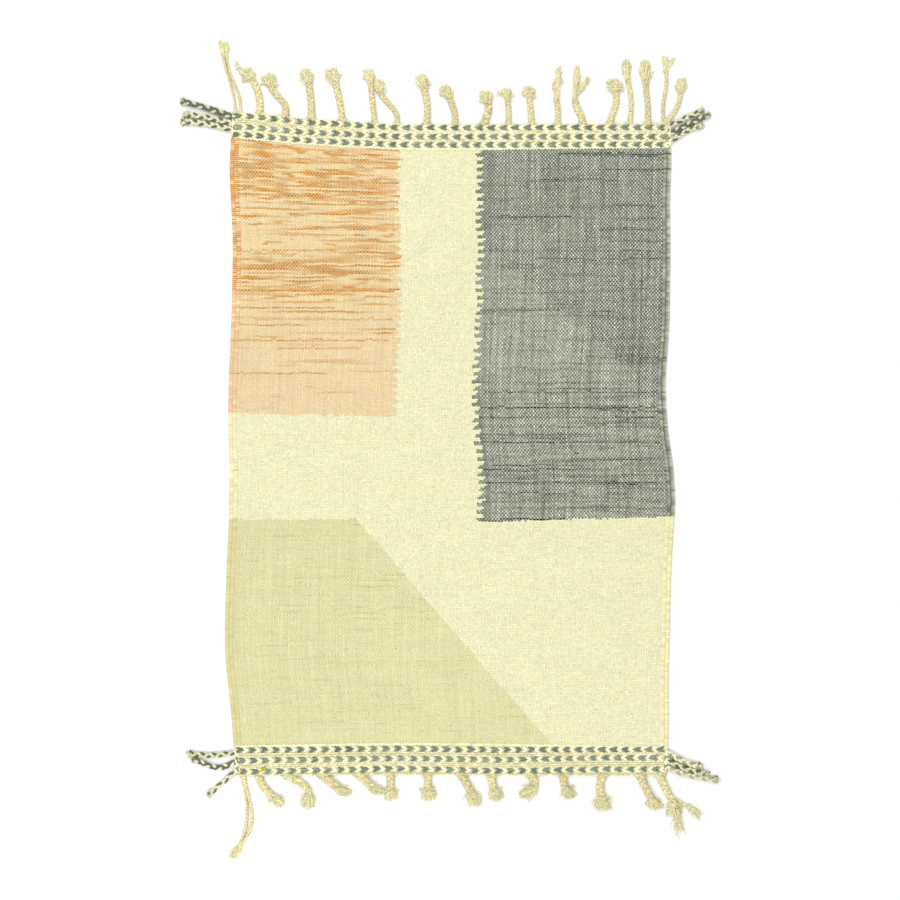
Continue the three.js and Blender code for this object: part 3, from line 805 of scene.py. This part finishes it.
def arrow_grains(lines, rows, turn_at):
    """Arrowheads, grey and cream by turns, that point to the place where the weaver turned round."""
    for number, height in enumerate(lines[1:4]):
        x = left_side(height(0.0)) + (10 + 8 * band_seed.random()) * MM
        right = right_side(height(0.0)) - 10 * MM
        count = 0
        while x < right:
            ahead = 1 if x < turn_at else -1
            grey = count % 2 == 0
            slope = slope_at(height, x)
            size = band_seed.uniform(0.88, 1.08) * (1.12 if grey else 0.98)
            lighter = rows["paler"][number] + band_seed.normal(0, 0.18)
            middle = height(x) + band_seed.normal(0, 0.4 * MM)
            for half in (1, -1):
                for strand in arrow_strands:
                    slant = -half * ahead * ARROW_SLANT
                    off = half * strand["off"] * MM
                    along = ahead * strand["ahead"] * MM * size
                    high = strand["high"] * (1.0 if grey else 0.9)
                    yield dict(
                        PLAIN_GRAIN,
                        place=(x + along, middle + off, BAND_LOW + 0.42 * high * MM),
                        heading=slant + slope + band_seed.normal(0, 0.05),
                        long=strand["long"] * size * band_seed.uniform(0.93, 1.07),
                        wide=strand["wide"],
                        high=high,
                        over=1.0 if grey else 0.0,
                        tone=band_seed.normal(0, 0.9),
                        second=np.clip(lighter + band_seed.normal(0, 0.2), 0, 1),
                    )
            x += ARROW_PITCH / 2 * band_seed.uniform(0.93, 1.07)
            count += 1


def turning_grains(lines):
    """At both ends of a band the twining yarns turn round its edge, from one row to the next."""
    for side, edge in ((1, left_side), (-1, right_side)):
        for number in range(TURNS):
            part = (number + 0.5) / TURNS
            first, last = lines[1](0.0), lines[3](0.0)
            y = lines[1](edge(first)) * (1 - part) + lines[3](edge(last)) * part
            y = y + band_seed.normal(0, 0.6 * MM)
            inset = side * (2.6 + 2.0 * (number % 2)) * MM
            yield dict(
                PLAIN_GRAIN,
                place=(edge(y) + inset, y, BAND_LOW + 1.4 * MM),
                heading=np.pi / 2 + band_seed.normal(0.15 * side, 0.25),
                long=12 + band_seed.normal(0, 1),
                wide=4.8,
                high=4.6,
                over=1.0 if number % 4 == 1 else 0.0,
                tone=band_seed.normal(0, 0.8),
                second=0.3,
            )


def band_ground(name, lines, way):
    """The strip of warps under the twining, closed all round, painted in shade all over where it lies
    under the twining.
    """
    free, seam = lines[0], lines[4]
    middle = 0.5 * (free(0.0) + seam(0.0))
    x = np.linspace(left_side(middle) + 0.5 * MM, right_side(middle) - 0.5 * MM, 141)
    near, far = free(x), seam(x) + way * 0.3 * MM
    profile = [(0.0, 0.1), (0.0, 1.0), (0.06, 2.2), (0.94, 2.2), (1.0, 2.0), (1.0, 0.1)]
    rings = [
        np.stack([x, near + (far - near) * part, np.full(len(x), high * MM)], axis=-1)
        for part, high in profile[:: int(-way)]
    ]
    points = np.stack(rings, axis=1).reshape(-1, 3)
    faces = tube_faces(len(x), len(profile))
    plain = np.zeros(len(faces))
    # Painted shade: the whole strip is darkened and tinted towards the wool's darker colour.
    fields = dict(over=plain, dark=plain + 0.15, tone=plain, second=plain)
    return triangle_mesh(name, points, faces, np.full(len(points), 0.6), fields, [twined_wool])


def twined_band(end, free, rows, seam, turn_at, way):
    """The three pieces of one band. turn_at: where its arrowheads turn round."""
    lines = band_lines(free, rows, seam)
    ground = band_ground(f"band_warps_{end}", lines, way)
    plain = stitched(f"plain_twining_{end}", plain_grains(lines, way), twined_wool)
    arrows = [*arrow_grains(lines, rows, turn_at), *turning_grains(lines)]
    arrows = stitched(f"arrow_twining_{end}", arrows, twined_wool)
    for piece in (ground, plain, arrows):
        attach(piece, "root")
        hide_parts(f"end_band_{end}")
    return [ground, plain, arrows]


TOP_ARROWS_TURN = -170 * MM
BOTTOM_ARROWS_TURN = 190 * MM
top_band = twined_band("top", top_free, top_rows, top_seam, TOP_ARROWS_TURN, 1)
bottom_band = twined_band("bottom", bottom_free, bottom_rows, bottom_seam, BOTTOM_ARROWS_TURN, -1)

# Stray yarn. A bent bit of yellow-green wool and a speck of orange were caught in the bottom band
# as it was twined.
STRAY_HIGH = BAND_LOW + 3.4 * MM
stray_wool = wool("stray_wool", dyed(200, 192, 8), dyed(214, 150, 30), dyed(150, 130, 20), 0.1)
caught = dict(PLAIN_GRAIN, high=2.4, tone=0.0)
stray_yarn = [
    dict(caught, place=(-0.4265, -0.7250, STRAY_HIGH), heading=1.1, long=13.0, wide=5.6),
    dict(caught, place=(-0.4205, -0.7215, STRAY_HIGH), heading=-0.5, long=9.5, wide=5.0),
    dict(caught, place=(-0.2860, -0.6860, STRAY_HIGH), heading=0.3, long=6.0, wide=4.0, over=1.0),
]
stray_piece = stitched("stray_yarn", stray_yarn, stray_wool)
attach(stray_piece, "root")
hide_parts("end_band_bottom")

# The tassels. Past the band the warp ends are gathered in small bunches and plaited in three
# strands, or twisted in two where they are thin, and their cut ends are left loose. They lie on
# the floor as they fell.

# at: where along the band. out: length of the plait. side, bow and sway: how far to the right its
# end lies, its middle is pushed and its first half swings. wide: its width. fan and brush: how wide
# and long the cut end is. lean: degrees that the cut end points right of straight out. belly: how
# far it bulges halfway.
top_tassels = table(
    "at out side bow sway wide fan brush lean belly",
    (-487, 130, -28, 3, 2, 7, 12, 38, -10),
    (-475, 130, -32, 3, 4, 7, 12, 36, 0),
    (-432, 82, -19, 8, 0, 17, 36, 30, -50),
    (-375, 73, -35, 9, 5, 16, 42, 28, 0),
    (-314, 84, -7, 2, 0, 18, 28, 36, -24),
    (-244, 92, -18, 2, 0, 16, 32, 33, -28),
    (-171, 95, -10, 0, 0, 14, 24, 31, -14),
    (-121, 76, -41, 10, 4, 13, 29, 30, 6),
    (-54, 88, -8, 6, 0, 17, 33, 29, -5),
    (12, 66, -17, 5, 0, 16, 28, 30, -28),
    (75, 55, 10, 6, 0, 18, 32, 26, -30),
    (132, 61, -3, 2, 0, 14, 26, 24, 0),
    (185, 68, -7, 1, 0, 15, 36, 22, 5),
    (243, 59, -3, 3, 0, 14, 14, 72, 14, 13),
    (301, 57, -18, 0, 2, 16, 12, 75, 8, 12),
    (361, 77, 12, 7, -2, 16, 42, 30, 0),
    (407, 102, -5, 6, 0, 12, 20, 46, -3),
    (449, 95, -7, 2, 0, 14, 25, 50, 5),
    (484, 125, 5, 0, -3, 9, 14, 34, -3),
    (490, 73, 34, 8, 0, 12, 25, 32, 5),
)
bottom_tassels = table(
    "at out side bow sway wide fan brush lean",
    (-470, 162, -9, 14, -2, 8, 18, 36, -42),
    (-467, 162, -9, 22, -5, 8, 18, 34, -30),
    (-434, 50, 36, -7, 0, 18, 27, 28, 38),
    (-372, 48, 52, 17, 0, 17, 34, 32, -12),
    (-291, 30, 39, 1, 0, 20, 28, 32, 62),
    (-207, 30, 36, 0, 0, 20, 26, 24, 48),
    (-135, 39, 0, 0, 0, 19, 38, 24, 10),
    (-51, 39, 1, 0, 0, 19, 44, 25, 18),
    (25, 45, 26, 1, 0, 20, 38, 31, 18),
    (94, 39, 8, -2, 0, 21, 36, 25, 22),
    (182, 30, 7, 7, 0, 20, 36, 38, -55),
    (257, 32, 7, -3, 0, 20, 32, 28, 38),
    (347, 52, -3, -6, 0, 20, 44, 34, 8),
    (431, 57, 30, -2, 0, 19, 34, 27, 25),
    (475, 64, 33, -1, 0, 18, 32, 30, 10),
)
top_loose_ends = table(
    "start end wide",
    ((-466, 853), (-492, 884), 9),
    ((122, 812), (102, 805), 8),
    ((286, 806), (320, 849), 11),
    ((489, 864), (511, 890), 8),
)
bottom_loose_ends = table(
    "start end wide",
    ((509, -799), (489, -834), 15),
    ((514, -815), (526, -882), 26),
    ((507, -788), (550, -816), 6),
    ((544, -812), (575, -836), 18),
)
# Ends narrower than THIN have two strands. A plait starts INSIDE_BAND and goes on PAST_END into its
# cut end. These and USUAL_WIDE, a plait's common width, are in millimetres, as in the tables.
PLAIT_SIDES = 8
PLAIT_STEP = 2.0 * MM
PLAIT_TURN = 1.7
THIN_TURN = 2.0
THIN = 10
USUAL_WIDE = 17
INSIDE_BAND = 5
PAST_END = 3
STRAND_WIDE = 0.245
STRAND_HIGH = 0.16
STRAND_CROSS = 0.15
PLY_TURN = 7.5 * MM
PLY_RELIEF = 0.15
GATHER = 15 * MM
FIBRE_SIDES = 3
FIBRE_THICK = 0.7 * MM
PLY_THICK = 1.4 * MM
# Its third colour shows only as painted shade in the grooves of the plaits and their cut ends.
warp_wool = wool(
    "warp_ends_wool", dyed(246, 238, 189), dyed(255, 249, 202), dyed(182, 164, 92), 0.06,
    fleck=dyed(150, 132, 66), flecked=0.60, specks=2.5,
)
tassel_seed = np.random.default_rng(89)


def route(root, outward, sideward, row, part):
    """The middle of a plait, from its root at 0 to its end at 1."""
    drift = row.get("side", row.get("rise", 0)) * part
    sideways = drift + row["bow"] * np.sin(np.pi * part) + row["sway"] * np.sin(2 * np.pi * part)
    return root + MM * (row["out"] * part[:, None] * outward + sideways[:, None] * sideward)


def unit(vectors):
    return vectors / np.linalg.norm(vectors, axis=-1, keepdims=True)


def strand(middle, wide, high, sides, over, plied=True):
    """A strand of two plies through points in space, its first corner underneath. Shade is painted
    into the grooves between its plies and on its underside, by their depth."""
    forward = unit(np.gradient(middle, axis=0))
    beside = unit(np.stack([-forward[:, 1], forward[:, 0], 0 * forward[:, 0]], axis=-1))
    up = np.cross(forward, beside)
    turn = -np.pi / 2 + 2 * np.pi * np.arange(sides) / sides
    steps = np.linalg.norm(np.diff(middle, axis=0), axis=1)
    travelled = np.concatenate([[0], np.cumsum(steps)])[:, None]
    groove = 0.5 - 0.5 * np.cos(2 * turn - 2 * np.pi * travelled / PLY_TURN)
    full = 1 - PLY_RELIEF * groove * plied
    rings = (
        middle[:, None, :]
        + beside[:, None, :] * (np.cos(turn) * full * np.reshape(wide, (-1, 1)))[:, :, None]
        + up[:, None, :] * (np.sin(turn) * full * np.reshape(high, (-1, 1)))[:, :, None]
    )
    rings[:, :, 2] = np.maximum(rings[:, :, 2], 0.2 * MM)
    shade_depth = 0.55 * (1 - np.sin(turn)) / 2 + 0.5 * groove * plied + 0 * travelled
    return dict(rings=rings, shade_depth=shade_depth, over=over, tone=tassel_seed.normal(0, 1))


def plaited(row, root, outward, sideward, turn, greys=0):
    """The strands of one plait, or of one thin end of two strands, from just inside the band."""
    strands = 2 if row["wide"] < THIN else 3
    wide = row["wide"] * MM
    count = int((row["out"] + INSIDE_BAND + PAST_END) * MM / PLAIT_STEP)
    part = np.linspace(-INSIDE_BAND / row["out"], 1 + PAST_END / row["out"], count)
    middle = route(root, outward, sideward, row, part)
    forward = unit(np.gradient(middle, axis=0))
    beside = np.stack([-forward[:, 1], forward[:, 0]], axis=-1)
    travelled = (part - part[0]) * row["out"] * MM
    start = tassel_seed.uniform(0, 2 * np.pi)
    lumps = 1 + 0.05 * np.sin(travelled / (19 * MM) + 2 * start)
    sunk = np.clip(travelled / (9 * MM), 0.4, 1)
    for k in range(strands):
        angle = 2 * np.pi * (travelled / (turn * wide) + k / strands) + start
        if strands == 2:
            half_wide, half_high = 0.3 * wide, 0.27 * wide
            lateral = 0.2 * wide * np.sin(angle)
            height = half_high + 0.2 * wide * (1 + np.cos(angle))
        else:
            half_wide, half_high = STRAND_WIDE * wide, STRAND_HIGH * wide
            lateral = (0.5 - STRAND_WIDE) * wide * np.sin(angle)
            height = half_high + STRAND_CROSS * wide * (1 + np.sin(2 * angle))
        points = np.column_stack([middle + beside * (lateral * lumps)[:, None], height * sunk])
        over = 1.0 - row.get("paler", 0) if k < greys else 0.0
        wides = half_wide * lumps
        yield strand(points, wides, half_high * sunk, PLAIT_SIDES, over)


def gathered(row, root, outward, sideward):
    """The warps that come out of the band on both sides of a plait and are drawn into it."""
    part = np.linspace(0, 1, 5)[:, None]
    for place in np.linspace(-1, 1, 7):
        spread = GATHER * place * row["wide"] / USUAL_WIDE + tassel_seed.normal(0, 0.8 * MM)
        first = root - outward * 3 * MM + sideward * spread
        last = root + outward * 9 * MM + sideward * 0.2 * spread
        middle = first + (last - first) * part + sideward * (-0.12 * spread) * np.sin(np.pi * part)
        height = (2.6 + 1.6 * np.sin(np.pi * 0.6 * part) + 0.4 * tassel_seed.random()) * MM
        thick = np.full(5, 1.7 * MM)
        yield strand(np.column_stack([middle, height]), thick, thick, 6, 0.0)


def cut_end(start, forward, outward, sideward, row, count, greys=1.0):
    """The loose end past a plait. A few untwisted plies curl out of it, and fine fibres stand round
    them. Most follow its lean and fan, and a third curl round its root."""
    lean = np.radians(row["lean"])
    half_fan = np.arcsin(min(0.9, (row["fan"] - 4) / 2 / row["brush"]))
    belly = row.get("belly", 0) * MM
    along = np.linspace(0, 1, 7)
    for k in range(count):
        fluff = k % 3 == 0
        ply = k % 7 == 1
        place = tassel_seed.uniform(-1, 1)
        longest = tassel_seed.uniform(0.55, 0.95) if fluff else tassel_seed.uniform(0.8, 1.18)
        longest = longest * (1 - 0.15 * place**2)
        angle = lean + half_fan * place * (2.5 if fluff else 1.3)
        aim = outward * np.cos(angle) + sideward * np.sin(angle)
        across = np.array([-aim[1], aim[0]])
        turned = (1 - (1 - along) ** 3) / 3 * (0.5 if fluff else 1.0)
        longest = 0.9 * longest if ply else longest
        curl = tassel_seed.uniform(0.6, 1.8) * MM * (2.0 if ply else 1.0)
        wave = np.sin(2 * np.pi * (along * tassel_seed.uniform(0.8, 2.2) + tassel_seed.random()))
        back = forward * tassel_seed.uniform(1, 9) * MM
        root = start + sideward * (place * 0.36 * row["wide"] * MM) - back
        steps = forward * turned[:, None] + aim * (along - turned)[:, None]
        flat = root + longest * row["brush"] * MM * steps + across * (curl * wave * along)[:, None]
        flat = flat + across * (belly * place * np.sin(np.pi * along**0.8))[:, None]
        lift = row["wide"] * MM * tassel_seed.uniform(0.15, 0.62)
        height = 0.9 * MM + lift * (1 - along) ** 1.2 + 2.2 * MM * tassel_seed.random() * along
        thick = FIBRE_THICK * tassel_seed.uniform(0.45, 1.2) * (1 - 0.5 * along)
        thick = PLY_THICK * (1 - 0.3 * along) if ply else thick
        over = 1.0 if tassel_seed.random() < greys else 0.0
        sides = 6 if ply else FIBRE_SIDES
        tube = strand(np.column_stack([flat, height]), thick, thick, sides, over, ply)
        # Painted shade: less on the fine fibres than on the plies, and more towards the root.
        tube["shade_depth"] = (1.0 if ply else 0.35) * tube["shade_depth"] + 0.15 * (1 - along)[:, None]
        yield tube


def tube_piece(name, tubes, material, node, painted_hollow_shade):
    """Many closed tubes as one piece, each a little lighter or darker than the next. By depth their
    grooves and undersides are tinted towards the wool's darker colour, as painted shade.
    """
    closed = []
    for tube in tubes:
        faces = tube_faces(*tube["rings"].shape[:2])
        shade_depth = tube["shade_depth"].ravel()
        fields = dict(
            over=np.full(len(faces), tube["over"]),
            dark=painted_hollow_shade * shade_depth[faces].mean(axis=1),
            tone=np.full(len(faces), tube["tone"]),
            second=np.zeros(len(faces)),
        )
        closed.append((tube["rings"], faces, shade_depth, fields))
    piece = joined_tubes(name, closed, [material])
    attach(piece, "root")
    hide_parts(node)
    return piece


def tassels(end, rows, loose_ends, free, way):
    """The plaits of one end as a piece, and their cut ends as another."""
    outward = np.array([0.0, way])
    sideward = np.array([1.0, 0.0])
    plaits = []
    ends = []
    for row in rows:
        root = MM * np.array([row["at"], np.interp(row["at"], free["x"], free["y"])])
        turn = PLAIT_TURN if row["wide"] >= THIN else THIN_TURN
        plaits += plaited(row, root, outward, sideward, turn)
        plaits += gathered(row, root, outward, sideward)
        last = route(root, outward, sideward, row, np.array([0.97, 1.0]))
        count = int(60 + 2.1 * row["fan"] + 0.8 * row["brush"])
        count = count // 2 if row["wide"] < THIN else count
        ends += cut_end(last[1], unit(last[1] - last[0]), outward, sideward, row, count)
    for row in loose_ends:
        start = MM * np.array(row["start"], float)
        along = MM * np.array(row["end"], float) - start
        length = np.linalg.norm(along) / MM
        aim = unit(along)
        loose = dict(lean=0, fan=row["wide"] + 4, brush=length, wide=0.7 * row["wide"])
        ends += cut_end(start, aim, aim, np.array([aim[1], -aim[0]]), loose, 40)
    node = f"end_band_{end}"
    # 0.7 and 0.25: how strongly shade is painted into the plaits and into the cut ends.
    plait_piece = tube_piece(f"plaits_{end}", plaits, warp_wool, node, 0.7)
    end_piece = tube_piece(f"cut_ends_{end}", ends, warp_wool, node, 0.25)
    return [plait_piece, end_piece]


top_hung = tassels("top", top_tassels, top_loose_ends, top_free, 1)
bottom_hung = tassels("bottom", bottom_tassels, bottom_loose_ends, bottom_free, -1)

# The corner braids. Each chevron row's grey and cream yarns leave the band at its two ends and
# are braided in three strands.

# edge: -1 at the left end, 1 at the right one. at: height of the root. out: length away from the
# cloth. rise, bow and sway: as a tassel's side, bow and sway, but along the warps. greys: how many
# of the strands are grey. paler: by how much that grey is faded.
top_braids = table(
    "edge at out rise bow sway wide greys",
    (-1, 756, 110, 34, 2, 0, 15, 2),
    (-1, 741, 102, 20, 2, 0, 14, 1),
    (-1, 727, 109, 18, 3, 0, 14.5, 1),
    (1, 736, 67, 31, 2, 0, 13, 1),
    (1, 719, 81, 39, 1, 0, 13, 2),
    (1, 700, 66, 35, 5, 0, 13, 1),
)
bottom_braids = table(
    "edge at out rise bow sway wide greys paler",
    (-1, -686, 98, -3, -5, 0, 13, 1),
    (-1, -707, 93, 6, -15, -2, 13, 2),
    (-1, -729, 57, -50, 0, 0, 13, 1),
    (1, -686, 72, -32, -4, 0, 15, 1, 0.3),
    (1, -704, 88, -31, -4, 0, 15, 1),
    (1, -721, 110, -27, -4, 0, 14, 1, 0.4),
)
# How long a braid's cut end is, and how much wider than the braid, in millimetres.
BRAID_BRUSH = 13
BRAID_FLARE = 3
BRAID_TURN = 2.05
# Its third colour shows only as painted shade in the grooves and undersides of the braids.
braid_wool = wool("braid_wool", dyed(244, 240, 202), dyed(106, 117, 102), dyed(104, 100, 66), 0.07)


def corner_braids(end, rows):
    """The six braids at the two corners of one end, with their short cut ends."""
    tubes = []
    for row in rows:
        outward = np.array([float(row["edge"]), 0.0])
        sideward = np.array([0.0, 1.0])
        edge = left_side if row["edge"] < 0 else right_side
        root = np.array([edge(row["at"] * MM), row["at"] * MM])
        tubes += plaited(row, root, outward, sideward, BRAID_TURN, row["greys"])
        last = route(root, outward, sideward, row, np.array([0.97, 1.0]))
        slant = np.degrees(np.arctan2(row["rise"], row["out"]))
        tip = dict(row, lean=slant, fan=row["wide"] + BRAID_FLARE, brush=BRAID_BRUSH)
        forward = unit(last[1] - last[0])
        tubes += cut_end(last[1], forward, outward, sideward, tip, 44, 0.2 * row["greys"])
    # 0.45: how strongly shade is painted into the braids.
    return tube_piece(f"corner_braids_{end}", tubes, braid_wool, f"end_band_{end}", 0.45)


top_corner = corner_braids("top", top_braids)
bottom_corner = corner_braids("bottom", bottom_braids)
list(top_band[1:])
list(bottom_band[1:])

# The studio: a pale paper floor, one soft light past each end of the rug and a bright room, seen
# by a camera that looks straight down and takes in two metres of floor.
VIEW_WIDE = 2.043
CAMERA_HIGH = 4.0
LIGHT_HIGH = 2.4
LIGHT_POWER = 42
FLOOR_HALF = 12.0
floor_mesh = bpy.data.meshes.new("floor")
floor_corners = [(-1, -1), (1, -1), (1, 1), (-1, 1)]
floor_points = [(x * FLOOR_HALF, y * FLOOR_HALF, 0) for x, y in floor_corners]
floor_mesh.from_pydata(floor_points, [], [(0, 1, 2, 3)])
floor = bpy.data.objects.new("floor", floor_mesh)
bpy.context.collection.objects.link(floor)
paper = bpy.data.materials.new("pale_paper")
paper.use_nodes = True
paper.node_tree.nodes["Principled BSDF"].inputs["Base Color"].default_value = (0.93, 0.93, 0.93, 1)
paper.node_tree.nodes["Principled BSDF"].inputs["Roughness"].default_value = 0.9
floor_mesh.materials.append(paper)

for name, side in (("light_top", 1), ("light_bottom", -1)):
    lamp = bpy.data.lights.new(name, "AREA")
    lamp.shape = "RECTANGLE"
    lamp.size = 2.4
    lamp.size_y = 1.2
    lamp.energy = LIGHT_POWER
    stand = bpy.data.objects.new(name, lamp)
    stand.location = (-0.7, side * 2.6, LIGHT_HIGH)
    aim = Vector((0, side * 0.4, 0)) - stand.location
    stand.rotation_euler = aim.to_track_quat("-Z", "Y").to_euler()
    bpy.context.collection.objects.link(stand)

world = bpy.data.worlds.new("bright_room")
world.use_nodes = True
world.node_tree.nodes["Background"].inputs["Color"].default_value = (1, 1, 1, 1)
world.node_tree.nodes["Background"].inputs["Strength"].default_value = 0.8
bpy.context.scene.world = world
bpy.context.scene.view_settings.view_transform = "Standard"

camera_data = bpy.data.cameras.new("camera")
camera_data.sensor_width = 36
camera_data.lens = 36 * CAMERA_HIGH / VIEW_WIDE
camera = bpy.data.objects.new("camera", camera_data)
camera.location = (0, 0, CAMERA_HIGH)
bpy.context.collection.objects.link(camera)
bpy.context.scene.camera = camera
